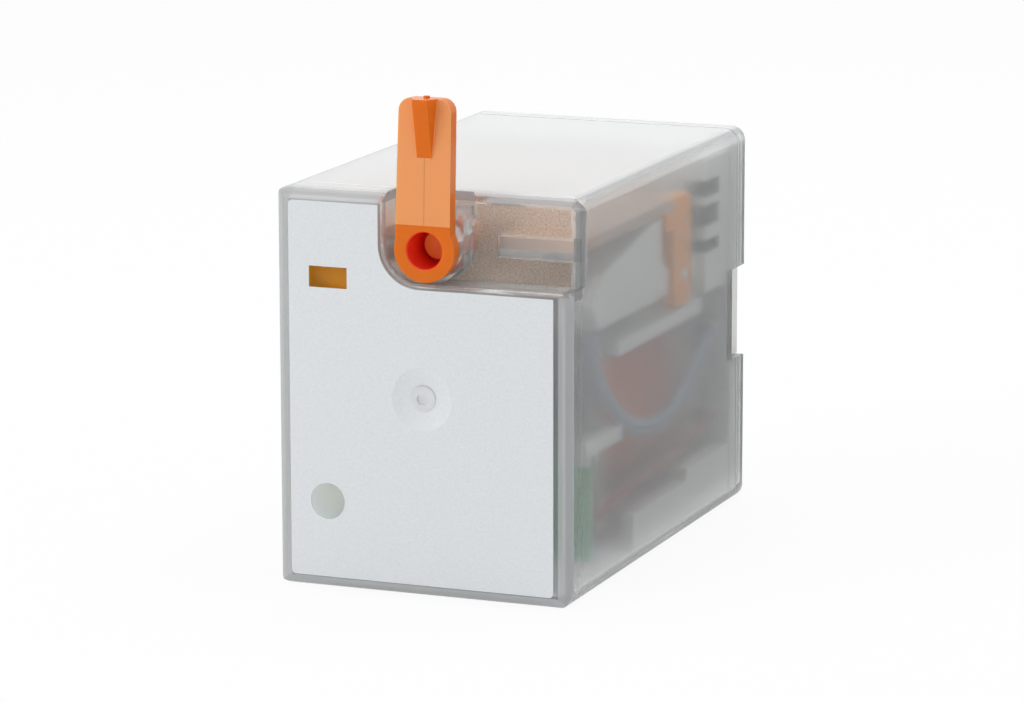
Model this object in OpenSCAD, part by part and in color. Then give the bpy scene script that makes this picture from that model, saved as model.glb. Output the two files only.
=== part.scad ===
// Four-pole plug-in miniature relay with a clear cover, a test lever and a mechanical flag.
// It lies on the flat underside of its cover: X is its width, Y runs from the front face to
// the plug blades, Z is up. The origin is the middle of the cover's underside.

/* [Cover] */
// Width of the cover
body_w = 21.2; // [20.8:0.1:23]
// Height of the cover
body_h = 27.5; // [27.3:0.1:29]
// Depth from the front face to the seat
body_d = 35.6; // [35:0.1:38]
// Wall thickness of the cover
wall = 0.8; // [0.7:0.05:0.9]
// Radius of the cover's outer edges
edge_r = 1.0; // [0.6:0.1:1.3]
// Radius inside the cover's edges
inner_r = 0.3; // [0.2:0.05:0.4]
// Width of the clear running round the base inside the cover
base_fit = 0.1; // [0.05:0.05:0.2]

/* [Lever recess] */
// Depth of the recess floor behind the front face
recess_d = 2.4; // [2.2:0.1:2.6]
// Thickness of the recess floor
floor_t = 0.8; // [0.7:0.05:0.9]
// Radius of the recess wall beside the pivot
recess_r = 2.5; // [2.45:0.05:2.6]
// Distance of the middle of the recess wall's arc below the cover's top
recess_drop = 3.5; // [3.4:0.05:3.6]
// Middle of the recess wall's arc in X
recess_x = -0.1; // [-0.2:0.05:0]
// Rounding of the recess wall's front edge
lip_r = 0.4; // [0.3:0.05:0.5]
// Height of the finger groove in the floor
groove_h = 1.6; // [1.2:0.1:1.8]
// Depth of the finger groove
groove_d = 0.4; // [0.2:0.05:0.45]
// Length of the finger groove from the cover's side
groove_l = 6.0; // [5.4:0.1:6.4]
// Depth of the pocket behind the lever in the recess floor
pocket_d = 0.6; // [0.4:0.05:0.7]
// Distance of the pocket's right edge from the lever pivot
pocket_r = 2.85; // [2.7:0.05:3]
// Outer radius of the collar round the hub
collar_r = 2.4; // [2.35:0.05:2.45]
// Thickness of the stop rib at the collar's right side
stop_t = 0.9; // [0.7:0.05:1]
// Height of the stop rib's top above the lever pivot
stop_up = 2.75; // [2.5:0.05:2.8]
// Distance of the stop rib's bottom below the lever pivot
stop_down = 1.2; // [0.8:0.1:1.6]
// Gap between the collar and the lever's boss
collar_gap = 0.1; // [0.05:0.05:0.15]

/* [Gate and notches] */
// Middle of the moulding gate in X
gate_x = 0.12; // [-0.3:0.02:0.5]
// Height of the moulding gate
gate_z = 13.66; // [12.5:0.02:14.5]
// Radius of the gate's dish
dish_r = 2.2; // [1.8:0.1:2.6]
// Depth of the gate's dish
dish_d = 0.35; // [0.2:0.05:0.4]
// Radius of the gate's nub
nub_r = 0.9; // [0.7:0.05:1]
// Radius of the pit in the nub
nub_pit_r = 0.45; // [0.3:0.05:0.5]
// Distance of the nub's top behind the front face
nub_drop = 0.08; // [0.05:0.01:0.12]
// Bottom of the latch notch
notch_z = 10.7; // [10:0.1:11.5]
// Height of the latch notch
notch_h = 6.7; // [6:0.1:7.5]
// Length of the latch notch from the rear
notch_l = 2.6; // [2.4:0.1:3]
// Width of the seam groove near the rear
seam_w = 0.2; // [0.1:0.05:0.3]
// Depth of the seam groove
seam_d = 0.12; // [0.08:0.02:0.2]
// Distance of the seam groove from the seat
seam_y = 1.4; // [1.2:0.1:1.8]

/* [Front film] */
// Thickness of the film
film_t = 0.08; // [0.05:0.01:0.12]
// Distance of the film from the cover's sides
film_side = 1.08; // [1:0.02:1.2]
// Distance of the film from the cover's bottom and top
film_end = 0.86; // [0.8:0.02:1]
// Corner radius of the film
film_r = 0.3; // [0.2:0.1:1]
// Gap between the film and the dish
film_gap = 0.01; // [0.01:0.01:0.02]
// Distance of the flag window from the cover's left side
flag_win_side = 2.56; // [2.4:0.02:2.7]
// Width of the flag window
flag_win_w = 2.77; // [2.5:0.01:2.9]
// Distance of the flag window's bottom below the cover's top
flag_win_drop = 6.7; // [6.6:0.05:6.8]
// Height of the flag window
flag_win_h = 1.45; // [1.2:0.05:1.5]
// Distance of the light's middle from the cover's left side
light_side = 3.8; // [3.6:0.05:4.2]
// Height of the light's window
light_z = 6.12; // [5.8:0.02:6.6]
// Radius of the light's window
light_win_r = 1.25; // [1:0.05:1.4]

/* [Test lever] */
// Lever pivot in X
pivot_x = 0.3; // [0.25:0.05:0.35]
// Distance of the lever pivot below the middle of the recess wall's arc
pivot_low = 0.25; // [0.2:0.01:0.26]
// Radius of the lever's boss
boss_r = 2.15; // [2.05:0.05:2.2]
// Thickness of the lever's plate
lever_t = 1.0; // [0.9:0.05:1.1]
// Width of the lever's bar on the left of the pivot
bar_left = 2.05; // [1.9:0.05:2.1]
// Width of the lever's bar on the right of the pivot
bar_right = 1.85; // [1.7:0.05:2]
// Distance by which the bar's left side slants inwards to the tip
bar_draft = 0.15; // [0.05:0.05:0.2]
// Length of the lever from the pivot to the tip
lever_l = 10.2; // [9:0.1:10.3]
// Corner radius of the lever's tip
tip_r = 0.9; // [0.6:0.1:1.4]
// Height of the bend above the pivot
bend_h = 1.7; // [1.4:0.1:1.9]
// Lean of the bar in degrees
lean = 2.5; // [1:0.5:4]
// Width of the thumb ridge
ridge_w = 1.05; // [0.9:0.05:1.2]
// Height of the thumb ridge at the tip
ridge_h = 1.07; // [0.8:0.01:1.2]
// Length of the thumb ridge
ridge_l = 4.2; // [3.6:0.1:4.6]
// Distance by which the ridge's foot is wider at the tip, on each side
ridge_draft = 0.35; // [0.2:0.05:0.5]
// Length of the gate nib beyond the tip
nib_l = 0.15; // [0.1:0.05:0.3]
// Radius of the gate nib
nib_r = 0.22; // [0.15:0.01:0.3]
// Radius of the hole in the lever's boss
hole_r = 1.25; // [1.15:0.05:1.35]
// Depth of the hole in the lever's boss
hole_d = 3.0; // [2.8:0.1:3.2]
// Width of the chamfer round the hole
hole_chamfer = 0.1; // [0.05:0.05:0.2]
// Radius of the lever's hub
hub_r = 1.9; // [1.8:0.05:1.95]
// Running clearance round the hub
hub_fit = 0.05; // [0.03:0.01:0.08]
// Radius of the snap lip behind the floor
snap_r = 2.15; // [2.05:0.05:2.2]
// Length of the snap lip
snap_l = 0.5; // [0.4:0.05:0.6]
// Gap between the floor and the snap lip
snap_gap = 0.1; // [0.05:0.05:0.15]
// Length of the cam end behind the snap lip, on the hub's axis
cam_l = 1.6; // [1.4:0.05:1.7]
// Gap between the cam and the carrier's nose
cam_gap = 0.08; // [0.06:0.01:0.1]

/* [Plunger] */
// Radius of the plunger
pin_r = 0.7; // [0.6:0.05:0.7]
// Running clearance round the plunger
pin_fit = 0.05; // [0.03:0.01:0.08]
// Radius of the plunger's head
pin_head_r = 0.95; // [0.9:0.05:1.1]
// Length of the plunger's head
pin_head_l = 0.5; // [0.4:0.05:0.6]
// Gap between the head and the hole's floor
pin_seat_gap = 0.05; // [0.03:0.01:0.08]
// Radius of the plunger's barb
barb_r = 0.85; // [0.8:0.01:0.86]
// Length of the plunger's barb
barb_l = 0.45; // [0.3:0.05:0.45]
// Gap between the plunger and the tongue
pin_gap = 0.1; // [0.08:0.01:0.12]

/* [Armature] */
// Opening angle of the armature in degrees
armature_turn = 3.5;
// Height of the armature's hinge line
hinge_z = 1.8; // [1.7:0.05:1.9]
// Distance of the armature's front face behind the cover's front
armature_y = 8.8; // [8.7:0.05:8.9]
// Thickness of the armature
armature_t = 1.2; // [1.1:0.05:1.25]
// Gap between the closed armature and the pole face
pole_gap = 0.05; // [0.03:0.01:0.08]
// Distance of the armature's side from the yoke's side
armature_in = 0.3; // [0.1:0.05:0.6]
// Bottom of the armature
armature_z = 1.2; // [1.15:0.05:1.25]
// Gap between the armature's upper edge and the carrier
armature_drop = 0.1; // [0.05:0.05:0.4]
// Corner radius of the armature
armature_r = 0.8; // [0.4:0.1:1.2]
// Clearance beside the yoke's ears
ear_fit = 0.15; // [0.1:0.05:0.2]
// Height of the cut for the yoke's ears
ear_cut_h = 2.6; // [2.4:0.1:3]

/* [Contact carrier] */
// Gap between the carrier's cheeks and the cover
cheek_gap = 0.5; // [0.45:0.05:0.6]
// Thickness of the carrier's cheeks
cheek_t = 1.3; // [1:0.05:1.35]
// Distance of the carrier's nose tip line behind the front, at its lower edge
carrier_y = 6.2; // [6.1:0.05:6.4]
// Height of the springs' underside above the carrier's underside
carrier_h = 3.03; // [2.95:0.01:3.1]
// Gap between the cheeks' top and the flag bridge's plate
cheek_drop = 0.3; // [0.25:0.05:0.4]
// Length of the cheeks' flat top in front of the follower ridge
cheek_front = 2.1; // [1.5:0.1:2.5]
// Length of the cheeks' flat top behind the follower ridge
cheek_rear = 0.4; // [0.3:0.05:0.6]
// Width of a barrier rib between the poles
rib_w = 0.6; // [0.4:0.05:0.8]
// Height of a barrier rib above the springs
rib_h = 0.9; // [0.6:0.1:1.2]
// Thickness of the cross bar over the springs
bar_t = 1.02; // [0.8:0.02:1.1]
// Length of the cross bar
bar_l = 4.0; // [3:0.2:5]
// Thickness of the front skirt
skirt_t = 1.55; // [1.2:0.05:1.55]
// Height of the front skirt
skirt_h = 3.2; // [2.2:0.1:4.2]
// Half width of the front skirt
skirt_x = 5.0; // [4:0.1:6]
// Radius of the rivet heads on the skirt
rivet_r = 0.8; // [0.6:0.05:1]
// Height of the rivet heads on the skirt
rivet_h = 0.3; // [0.2:0.05:0.4]
// Distance of the rivets from the middle
rivet_x = 3.2; // [2.6:0.1:3.8]
// Width of the tongue that the plunger and the cam meet
tongue_w = 1.6; // [1.4:0.1:1.8]
// Thickness of the tongue
tongue_t = 1.2; // [1:0.05:1.2]
// Height of the tongue above the lever pivot
tongue_up = 0.6; // [0.5:0.05:0.7]
// Distance of the nose below the lever pivot
nose_off = 1.35; // [1.33:0.01:1.37]
// Radius of the nose
nose_r = 0.4; // [0.35:0.01:0.42]
// Width of the follower ridge
ridge_foot = 0.5; // [0.4:0.05:0.6]
// Gap between the follower ridge and the flag bridge
follow_gap = 0.1; // [0.08:0.01:0.12]

/* [Contacts] */
// Distance of an outer pole's field from the cover's wall
pole_side = 1.0; // [0.9:0.05:1.2]
// Width of the contact springs
spring_w = 2.2; // [1.8:0.1:2.4]
// Thickness of the contact springs
spring_t = 0.2; // [0.15:0.01:0.25]
// Gap between a contact spring and the carrier
spring_gap = 0.05; // [0.03:0.01:0.06]
// Distance of the moving contacts in front of the seat
contact_y = 8.6; // [8.4:0.1:8.8]
// Length of a spring beyond its contact
spring_end = 1.0; // [0.8:0.1:1.2]
// Radius of the contact heads
head_r = 1.0; // [0.8:0.05:1.05]
// Height of the contact heads
head_h = 0.45; // [0.35:0.05:0.45]
// Gap between closed contacts
contact_gap = 0.03; // [0.02:0.01:0.05]
// Distance between open contacts
open_gap = 1.12; // [1.1:0.01:1.2]

/* [Blades] */
// Distance of the row of normally closed contacts below the cover's top
nc_drop = 3.9; // [3.8:0.05:4]
// Distance between the rows of normally closed and normally open contacts
row_step = 4.1; // [4.05:0.05:4.2]
// Height of the row of common contacts
com_z = 13.2; // [12.8:0.1:13.6]
// Height of the coil's blades
coil_blade_z = 6.8; // [6.4:0.1:7.2]
// Thickness of the blades
blade_t = 0.5; // [0.4:0.02:0.56]
// Width of the blades
blade_w = 2.6; // [2.4:0.05:2.8]
// Length of the blades behind the seat
blade_l = 6.4; // [5:0.1:7]
// Chamfer of the blades' tips
blade_tip = 0.6; // [0.3:0.1:1]
// Width of the eye in a blade
eye_w = 1.2; // [0.8:0.1:1.4]
// Length of the eye in a blade
eye_l = 2.2; // [1.6:0.1:2.6]
// Distance of the eye's middle from the seat
eye_y = 3.4; // [2.8:0.1:3.8]
// Width of a blade's inner arm
arm_w = 2.2; // [2:0.1:2.3]
// Clearance round a blade in the base
blade_fit = 0.05; // [0.03:0.01:0.08]
// Distance of the closed contacts in front of the open contacts
contact_shift = 1.1; // [1:0.05:1.2]
// Length of an arm beyond its fixed contact
arm_end = 1.1; // [1.05:0.05:1.3]
// Height of the fixed heads on the normally open arms
no_head_h = 0.5; // [0.4:0.05:0.55]
// Length of the common tails inside the base's flange
tail_l = 1.8; // [1.5:0.1:2]

/* [Base] */
// Thickness of the base's flange
flange_t = 2.2; // [2:0.1:2.4]
// Distance of the latch's face from the cover's side
latch_in = 0.5; // [0.4:0.05:0.6]
// Clearance between the latch and its notch
latch_fit = 0.1; // [0.05:0.05:0.15]
// Width of the lead-in on the latch
latch_slope = 0.35; // [0.2:0.05:0.4]
// Length of the contact block
block_l = 4.8; // [4.4:0.1:5]
// Half width of the contact block
block_side = 0.4; // [0.3:0.05:0.5]
// Distance of the contact block's bottom below the normally open contacts
block_under = 3.1; // [2.8:0.05:3.2]
// Distance of the contact block's top below the cover's top
block_drop = 1.5; // [1.2:0.1:1.8]
// Depth of the side windows in X
window_x = 1.5; // [1:0.1:1.5]
// Depth of the side windows in Y
window_y = 2.9; // [2:0.1:3.2]
// Height of the windows over the normally closed arms
window_nc_h = 1.2; // [0.9:0.05:1.3]
// Height of the channel between the arms
window_mid_h = 1.5; // [1:0.1:1.6]
// Height of the channel's bottom above the open arms
window_mid_up = 1.7; // [1.6:0.05:1.8]
// Height of the windows at the normally open arms
window_no_h = 0.9; // [0.7:0.05:1]
// Thickness of the side arms
side_arm_t = 0.55; // [0.5:0.05:0.55]
// Gap between the side arms and the flag bridge
side_arm_gap = 0.1; // [0.08:0.01:0.12]
// Height of the side arms
side_arm_h = 1.6; // [1.4:0.1:1.8]
// Radius of the pivot pins
pivot_pin_r = 0.4; // [0.35:0.05:0.45]
// Clearance round the pivot pins
pivot_fit = 0.05; // [0.03:0.01:0.08]
// Distance of the pivot pins in front of the seat
pivot_y = 11.3; // [11.2:0.05:11.4]
// Distance of the pivot pins below the flag bridge's plate
pivot_pin_drop = 4.9; // [4.8:0.05:5]
// Gap between the rails and the cover's side
rail_gap = 0.2; // [0.15:0.05:0.3]
// Thickness of the rails
rail_t = 1.0; // [0.8:0.05:1]
// Height of the rails
rail_h = 2.6; // [2.2:0.1:2.8]
// Height that the rails gain near the rear
rail_step = 0.9; // [0.6:0.1:1]
// Length of the rails' high part
rail_step_l = 9.0; // [7:0.5:10]
// Length of the rails
rail_l = 19.9; // [18:0.1:20]
// Height of the foot that holds the yoke
foot_h = 0.8; // [0.6:0.05:1]
// Half width of the cradle behind the yoke
cradle_x = 4.5; // [3.5:0.1:5]
// Bottom of the cradle
cradle_z = 3.0; // [2.6:0.1:3.4]
// Height of the cradle
cradle_h = 8.0; // [7:0.1:8.5]

/* [Flag bridge] */
// Gap between the flag bridge and the cover's side
bridge_gap = 0.45; // [0.4:0.05:0.45]
// Thickness of the bridge's side fingers
finger_t = 0.8; // [0.7:0.05:0.8]
// Width of the side fingers
finger_w = 3.5; // [3.2:0.1:3.8]
// Distance of the fingers' bottom below the pivot pins
finger_under = 2.1; // [1.7:0.05:2.15]
// Distance of the pivot hole from the finger's front edge
finger_front = 2.1; // [1.8:0.1:2.2]
// Corner radius of the fingers
finger_r = 0.5; // [0.3:0.1:0.8]
// Distance of the underside of the bridge's plate below the cover's top
plate_drop = 4.0; // [4:0.05:4.05]
// Thickness of the bridge's plate
plate_t = 0.8; // [0.7:0.05:0.85]
// Height of the rib under the plate's sides
under_h = 1.3; // [1:0.1:1.3]
// Length of the rib under the plate's sides
under_l = 1.6; // [1.2:0.1:1.6]
// Distance of the plate's cut-out behind the cover's front
cut_y = 11.5; // [11.2:0.1:12]
// Width of the plate's left arm, which carries the flag
flag_w = 4.45; // [4.3:0.05:4.6]
// Width of the plate's right arm
strip_w = 5.35; // [5:0.05:5.4]
// Distance of the right strip behind the cover's front
strip_y = 4.2; // [4.1:0.05:4.6]
// Distance of the flag behind the cover's front
flag_y = 1.2; // [1.1:0.05:1.3]
// Thickness of the flag
flag_t = 0.7; // [0.6:0.05:0.8]
// Distance of the flag's lower edge below the flag window
flag_under = 0.35; // [0.3:0.01:0.4]
// Gap between the flag's side and the bridge's side
flag_side = 0.15; // [0.1:0.05:0.2]

/* [Magnet] */
// Distance of the winding inside the bobbin's flanges
winding_in = 0.15; // [0.1:0.05:0.6]
// Radius of the core
core_r = 2.75; // [2.4:0.05:2.9]
// Radius of the pole face
pole_r = 3.9; // [3.6:0.1:4.2]
// Thickness of the pole face
pole_t = 0.8; // [0.7:0.05:0.8]
// Radius of the core's spigot in the yoke
spigot_r = 2.0; // [1.6:0.1:2.2]
// Gap between pieces that are pressed together
press_gap = 0.05; // [0.03:0.01:0.06]
// Thickness of the bobbin's tube
bobbin_t = 0.55; // [0.4:0.05:0.7]
// Distance of the bobbin's flanges from the cover's wall
bobbin_side = 2.2; // [2.2:0.1:2.5]
// Bottom of the bobbin's flanges
bobbin_z = 2.6; // [2.55:0.05:2.65]
// Distance of the bobbin's flanges below the carrier
bobbin_drop = 2.5; // [2.4:0.05:2.6]
// Thickness of the bobbin's flanges
bobbin_flange_t = 0.8; // [0.6:0.05:0.9]
// Thickness of the barrier plate over the coil
barrier_t = 1.0; // [0.8:0.05:1]
// Gap between the barrier plate and the cover's side
barrier_gap = 0.4; // [0.35:0.05:0.5]
// Distance of the barrier plate's rear from the bobbin's rear
barrier_short = 1.5; // [1.2:0.1:2]
// Distance of the yoke's rear face in front of the seat
yoke_y = 4.6; // [4.5:0.05:4.7]
// Thickness of the yoke
yoke_t = 1.4; // [1.3:0.05:1.45]
// Distance of the yoke from the cover's wall
yoke_side = 2.5; // [2.5:0.05:2.6]
// Underside of the yoke
yoke_z = 1.05; // [1.05:0.01:1.1]
// Distance of the yoke's top below the bobbin's barrier plate
yoke_drop = 0.2; // [0.2:0.1:0.7]
// Gap between the armature's hinge line and the yoke's edge
yoke_gap = 0.1; // [0.08:0.01:0.15]
// Width of the yoke's ears
ear_w = 1.15; // [1:0.05:1.15]
// Length of the yoke's ears
ear_l = 1.8; // [1.6:0.1:2]
// Thickness of the return spring
clip_t = 0.15; // [0.12:0.01:0.15]
// Half width of the return spring
clip_x = 4.6; // [4:0.1:5]
// Gap between the return spring and the armature
clip_gap = 0.15; // [0.12:0.01:0.2]
// Height of the return spring's front
clip_h = 0.9; // [0.8:0.05:1]
// Length of the return spring under the yoke
clip_l = 5.5; // [4:0.1:6]

/* [Indicator board] */
// Distance of the board's front behind the cover's front
board_y = 5.6; // [5.5:0.05:5.7]
// Thickness of the board
board_t = 0.8; // [0.7:0.05:0.85]
// Gap between the board and the cover's side
board_gap = 0.6; // [0.5:0.05:0.7]
// Bottom of the board
board_z = 2.0; // [1.8:0.1:2.2]
// Height of the board
board_h = 7.2; // [6.8:0.05:7.2]
// Gap between the board and the arms that hold it
board_fit = 0.1; // [0.05:0.05:0.1]
// Thickness of the board's arms
holder_t = 0.8; // [0.6:0.05:0.8]
// Height of the board's arms
holder_h = 1.0; // [0.8:0.05:1]
// Distance that the arms reach in front of the board
holder_l = 0.7; // [0.5:0.05:0.9]
// Length of the hook in front of the board
hook_l = 0.55; // [0.4:0.05:0.6]
// Gap between the board and the hook
hook_gap = 0.05; // [0.03:0.01:0.06]
// Radius of the light's lens
led_r = 1.3; // [1.1:0.05:1.4]
// Length of the light's lens
led_l = 4.4; // [3.8:0.1:4.5]
// Radius of the light's collar
led_collar_r = 1.55; // [1.4:0.05:1.6]
// Thickness of the light's collar
led_collar_t = 0.4; // [0.3:0.05:0.5]
// Radius of the resistor
resistor_r = 0.7; // [0.5:0.05:0.8]
// Length of the resistor
resistor_l = 4.0; // [3:0.1:4.6]
// Radius of the resistor's wires
resistor_wire_r = 0.25; // [0.2:0.02:0.3]
// Distance between the resistor's wires
resistor_span = 6.0; // [5.4:0.1:6.4]
// Height of the resistor
resistor_z = 4.6; // [4:0.1:5.2]
// Middle of the resistor in X
resistor_x = 1.5; // [1:0.1:2]
// Radius of the solder joints
solder_r = 0.5; // [0.4:0.05:0.55]

/* [Wires] */
// Radius of the pigtails
pigtail_r = 0.4; // [0.3:0.05:0.4]
// Radius of the coil leads
lead_r = 0.3; // [0.2:0.02:0.3]

/* [Hidden] */
$fn = 48;

// Overrun of the cuts
over = 1.0;
// Overlap where two shapes of one piece join
join = 0.02;
// Distance of the tongue's front before the armature's front
tongue_set = 0.2;
// Gap between the skirt and the armature
skirt_gap = 0.05;
// Distance of the springs' front behind the tongue
spring_start = 0.4;
// Distance of the cross bar behind the carrier's front
bar_set = 6.8;
// Distance of the carrier's rear in front of the flag bridge's pivot
carrier_rear = 3.0;
// Distance of the follower ridge in front of the flag bridge's pivot
follow_rear = 4.9;
// Radius of the rivets' shanks in the springs
shank_r = 0.5;
// Distance of the bridge plate's rear behind the fingers' front
plate_back = 0.8;
// Distance from the board's end to the solder joints
solder_set = 0.9;
// Height of the solder joints
solder_z = 4.4;
// Front and rear outline of a cheek, as shares of its length and its height
cheek_front_shares = [[0.08, 0], [0, 0.33], [0.12, 0.64]];
cheek_rear_shares = [[1, 0.29], [0.99, 0]];
// Height of the step behind a cheek's flat top, as a share of its height
cheek_step_share = 0.49;

// Inner half width, inner top and the underside of the rounded places
in_x = body_w / 2 - wall;
in_top = body_h - wall;

// Lever recess and hub
recess_mid = body_h - recess_drop;
pivot_z = recess_mid - pivot_low;
recess_z = recess_mid - recess_r;
recess_left = recess_x - recess_r;
floor_back = recess_d + floor_t;
pocket_x = pivot_x + pocket_r;
pocket_y = recess_d + pocket_d;
pocket_back = floor_back + pocket_d;
hub_back = pocket_back + snap_gap;
cam_y = hub_back + snap_l + cam_l;
dish_ball = (dish_r * dish_r + dish_d * dish_d) / (2 * dish_d);

// Windows in the film
flag_win_x = flag_win_side - body_w / 2;
flag_win_z = body_h - flag_win_drop;
light_x = light_side - body_w / 2;

// Rows of contacts, springs and carrier
nc_z = body_h - nc_drop;
no_z = nc_z - row_step;
spring_z = no_z + blade_t / 2 + no_head_h + contact_gap + head_h;
plate_z = body_h - plate_drop;
carrier_z = spring_z - carrier_h;
carrier_top = plate_z - cheek_drop;
skirt_z = carrier_z - skirt_h;

// Armature, cam and plunger
yoke_x = in_x - yoke_side;
armature_x = yoke_x - armature_in;
armature_top = carrier_z - armature_drop;
armature_back = armature_y + armature_t;
pole_y = armature_back + pole_gap;
hinge_y = pole_y + pole_gap;
tongue_y = armature_y - tongue_set;
nose_z = pivot_z - nose_off;
cam_slope = (nose_z - hinge_z) * sin(armature_turn) / (sqrt(2) * nose_off);
cam_rise = cam_slope * nose_off / sqrt(2);
nose_y = cam_y + cam_rise + nose_r * sqrt(1 + cam_slope * cam_slope) + cam_gap;
pin_end = tongue_y - pin_gap;
pin_head_y = hole_d - pin_seat_gap;

// Contacts
poles_share = [-1.5, -0.5, 0.5, 1.5];
pole_pitch = 2 * (in_x - pole_side) / len(poles_share);
pole_x = [for (s = poles_share) s * pole_pitch];
moving_y = body_d - contact_y;
fixed_y = moving_y - contact_shift;
nc_under = spring_z + spring_t + head_h + open_gap;
flange_y = body_d - flange_t;

// Flag bridge and carrier
fulcrum_y = body_d - pivot_y;
pivot_pin_z = plate_z - pivot_pin_drop;
finger_z = pivot_pin_z - finger_under;
bridge_x = in_x - bridge_gap;
cut_left = flag_w - bridge_x;
cut_right = bridge_x - strip_w;
flag_z = flag_win_z - flag_under;
finger_y = fulcrum_y - finger_front;
plate_rear = finger_y + plate_back;
carrier_back = fulcrum_y - carrier_rear;
follow_y = fulcrum_y - follow_rear;
cheek_x = in_x - cheek_gap;
cheek_in = cheek_x - cheek_t;
skirt_y = armature_y - skirt_gap - skirt_t;
spring_y = tongue_y + tongue_t + spring_start;

// Magnet
yoke_back = body_d - yoke_y;
yoke_front = yoke_back - yoke_t;
bobbin_x = in_x - bobbin_side;
bobbin_top = carrier_z - bobbin_drop;
coil_z = (bobbin_top + bobbin_z) / 2;
winding_r = (bobbin_top - bobbin_z) / 2 - winding_in;
yoke_top = bobbin_top - yoke_drop;
bobbin_y = pole_y + pole_t + press_gap;
bobbin_back = yoke_front - 2 * press_gap;
tube_r = core_r + press_gap + bobbin_t;
barrier_x = in_x - barrier_gap;
holder_x = barrier_x - holder_t;
holder_z = board_z + board_h + board_fit;
rail_x = in_x - rail_gap;
board_x = in_x - board_gap;

// Routes of the wires on the right side, front to rear
pigtail_outer = [[8.7, 7.6, 17.4], [8.75, 7.6, 16.4], [9.0, 8.4, 14.0], [9.1, 11.0, 11.6],
    [9.1, 14.5, 9.8], [9.1, 20.0, 9.0], [9.0, 25.0, 10.2], [9.0, 29.0, 12.4], [8.9, 31.3, 13.2],
    [8.5, 32.1, 13.2], [7.7, 32.2, 13.2]];
pigtail_inner = [[8.1, 9.3, 17.4], [8.1, 9.3, 16.4], [8.1, 9.6, 14.0], [8.1, 12.4, 11.2],
    [8.1, 16.0, 9.0], [8.1, 21.0, 8.0], [8.1, 26.0, 8.9], [8.1, 29.4, 10.4], [7.8, 31.6, 11.8],
    [6.4, 32.3, 12.2], [4.6, 32.3, 13.0], [3.9, 32.2, 13.2], [3.3, 32.2, 13.2]];
coil_lead = [[8.3, 6.4, 4.4], [8.3, 7.4, 4.4], [8.3, 12.0, 4.7], [8.3, 20.0, 5.2],
    [8.3, 28.0, 5.8], [8.4, 31.0, 6.4], [8.2, 32.1, 6.8], [7.7, 32.2, 6.8]];
// Steps between two points of a route
route_steps = 3;

// Box from its lower corner to its upper corner
module span(a, b) {
    translate(a) cube(b - a);
}

// An outline drawn in Y and Z, extruded along X
module along_x(x0, x1) {
    translate([x0, 0, 0]) rotate([90, 0, 90]) linear_extrude(x1 - x0) children();
}

// An outline drawn in X and Z, extruded along Y
module along_y(y0, y1) {
    translate([0, y1, 0]) rotate([90, 0, 0]) linear_extrude(y1 - y0) children();
}

// An outline drawn in X and Y, extruded along Z
module along_z(z0, z1) {
    translate([0, 0, z0]) linear_extrude(z1 - z0) children();
}

module rod_x(x0, x1, y, z, r) {
    translate([x0, y, z]) rotate([0, 90, 0]) cylinder(r = r, h = x1 - x0);
}

module rod_y(y0, y1, x, z, r) {
    translate([x, y0, z]) rotate([-90, 0, 0]) cylinder(r = r, h = y1 - y0);
}

module rod_z(z0, z1, x, y, r) {
    translate([x, y, z0]) cylinder(r = r, h = z1 - z0);
}

// The shape and its mirror image on the other side
module both() {
    children();
    mirror([1, 0, 0]) children();
}

// Rectangle with round corners
module soft_rect(a, b, r) {
    translate([a[0] + r, a[1]]) square([b[0] - a[0] - 2 * r, b[1] - a[1]]);
    translate([a[0], a[1] + r]) square([b[0] - a[0], b[1] - a[1] - 2 * r]);
    for (u = [a[0] + r, b[0] - r], v = [a[1] + r, b[1] - r]) {
        translate([u, v]) circle(r);
    }
}

// Block with round edges and corners and a square rear
module soft_block(a, b, r) {
    low = a + [r, r, r];
    high = [b[0] - r, b[1], b[2] - r];
    along_y(low[1], b[1]) soft_rect([a[0], a[2]], [b[0], b[2]], r);
    span([low[0], a[1], low[2]], [high[0], low[1] + join, high[2]]);
    for (z = [low[2], high[2]]) {
        rod_x(low[0], high[0], low[1], z, r);
    }
    for (x = [low[0], high[0]]) {
        rod_z(low[2], high[2], x, low[1], r);
        for (z = [low[2], high[2]]) {
            translate([x, low[1], z]) intersection() {
                rod_x(-r, r, 0, 0, r);
                rod_y(-r, r, 0, 0, r);
                rod_z(-r, r, 0, 0, r);
            }
        }
    }
}

function unit(v) = v / norm(v);

// A smooth curve through the points of a route
function curve(p, n) = concat(
    [for (i = [0:len(p) - 2], k = [0:n - 1]) let (
        a = p[max(i - 1, 0)],
        b = p[i],
        c = p[i + 1],
        d = p[min(i + 2, len(p) - 1)],
        t = k / n
    ) (2 * b + (c - a) * t + (2 * a - 5 * b + 4 * c - d) * t * t
        + (3 * b - a - 3 * c + d) * t * t * t) / 2],
    [p[len(p) - 1]]);

// Directions along a curve, straight at both ends
function headings(q, p) = [for (i = [0:len(q) - 1])
    i == 0 ? unit(p[1] - p[0])
    : i == len(q) - 1 ? unit(p[len(p) - 1] - p[len(p) - 2])
    : unit(q[i + 1] - q[i - 1])];

// Side directions carried along a curve without twist
function sides(t, i, n, list) = i == len(t) ? list
    : let (m = unit(n - (n * t[i]) * t[i])) sides(t, i + 1, m, concat(list, [m]));

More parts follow.
